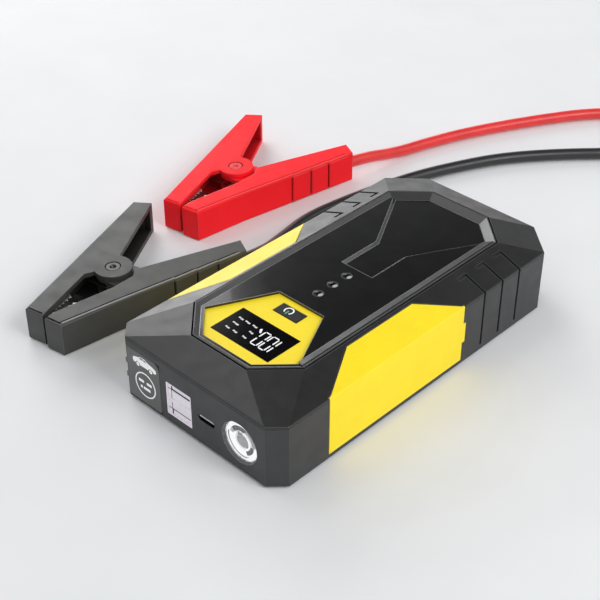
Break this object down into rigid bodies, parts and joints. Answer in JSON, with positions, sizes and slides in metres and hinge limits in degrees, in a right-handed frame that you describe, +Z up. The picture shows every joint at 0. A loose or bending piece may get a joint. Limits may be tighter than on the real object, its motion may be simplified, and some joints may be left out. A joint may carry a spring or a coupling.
{
  "type": "jump starter pack",
  "caption": "Car jump starter pack with display, sockets and torch, and two battery clamps whose leads meet in a jump plug.",
  "frame": {"origin": "on the surface the pack stands on, under the middle of its base", "axes": "+Z up, -Y out of the face with the sockets and the torch, +X to the right when that face is seen from the front"},
  "size_m": [0.2295, 0.3842, 0.0331],
  "materials": {
    "case": "satin",
    "yellow": "satin",
    "rim": "satin",
    "gloss": "gloss",
    "window": "gloss",
    "module": "matte",
    "button": "gloss",
    "clear": "gloss",
    "pipe": "gloss",
    "rubber": "matte",
    "gold": "polished",
    "steel": "satin",
    "insert": "satin",
    "black_insert": "satin",
    "chrome": "polished",
    "led": "gloss",
    "board": "satin",
    "cell": "satin",
    "foam": "matte",
    "nickel": "satin",
    "clamp_black": "satin",
    "clamp_red": "satin",
    "jaw": "satin",
    "spring": "satin",
    "copper": "satin",
    "lead_black": "satin",
    "lead_red": "satin",
    "plug": "satin"
  },
  "bodies": {
    "pack": {"lower_shell": "case", "upper_shell": "case", "side_panel_right": "yellow", "side_panel_left": "yellow", "top_rim": "rim", "top_panel": "gloss", "display_plate": "yellow", "display_window": "window", "display_module": "module", "button_switch": "steel", "indicator_lights": "pipe", "jump_socket": "plug", "socket_contacts": "gold", "usb_a_shell": "steel", "usb_a_inserts": "insert", "usb_c_socket": "steel", "usb_c_tongue": "black_insert", "torch_lens": "clear", "torch_reflector": "chrome", "torch_led": "led", "torch_board": "board", "port_board": "board", "main_board": "board", "battery_cells": "cell", "cell_pads": "foam", "cell_bars": "nickel", "inner_leads": "copper", "case_screws": "steel", "rubber_feet": "rubber", "base_pad": "rubber", "black_clamp_body": "clamp_black", "black_fixed_jaw": "jaw", "black_pivot_rivet": "steel", "black_clamp_spring": "spring", "black_lead_lug": "copper", "red_clamp_body": "clamp_red", "red_fixed_jaw": "jaw", "red_pivot_rivet": "steel", "red_clamp_spring": "spring", "red_lead_lug": "copper", "black_lead": "lead_black", "red_lead": "lead_red", "plug_body": "plug", "plug_contacts": "gold", "lead_strain_reliefs": "rubber"},
    "button": {"power_button": "button"},
    "cover": {"socket_cover": "rubber"},
    "black_lever": {"black_clamp_lever": "clamp_black", "black_lever_jaw": "jaw"},
    "red_lever": {"red_clamp_lever": "clamp_red", "red_lever_jaw": "jaw"}
  },
  "joints": [
    {"name": "button_press", "type": "slide", "parent": "pack", "child": "button", "axis": [0, 0, -1], "range_m": [0, 0.0005], "stiffness_N_per_m": 60, "springref_m": -0.0005},
    {"name": "cover_hinge", "type": "hinge", "parent": "pack", "child": "cover", "pos_m": [-0.0363, -0.0816, 0.01375], "axis": [0, 0, -1], "range_deg": [0, 90], "stiffness_Nm_per_rad": 0.001, "springref_deg": -5.73},
    {"name": "black_lever_hinge", "type": "hinge", "parent": "pack", "child": "black_lever", "pos_m": [-0.0904, -0.0442, 0.00725], "axis": [0, 0, -1], "range_deg": [0, 26], "stiffness_Nm_per_rad": 0.3, "springref_deg": -17.19, "deforming": ["black_clamp_spring"]},
    {"name": "red_lever_hinge", "type": "hinge", "parent": "pack", "child": "red_lever", "pos_m": [-0.1134, 0.0476, 0.00725], "axis": [0, 0, -1], "range_deg": [0, 26], "stiffness_Nm_per_rad": 0.3, "springref_deg": -17.19, "deforming": ["red_clamp_spring"]}
  ]
}
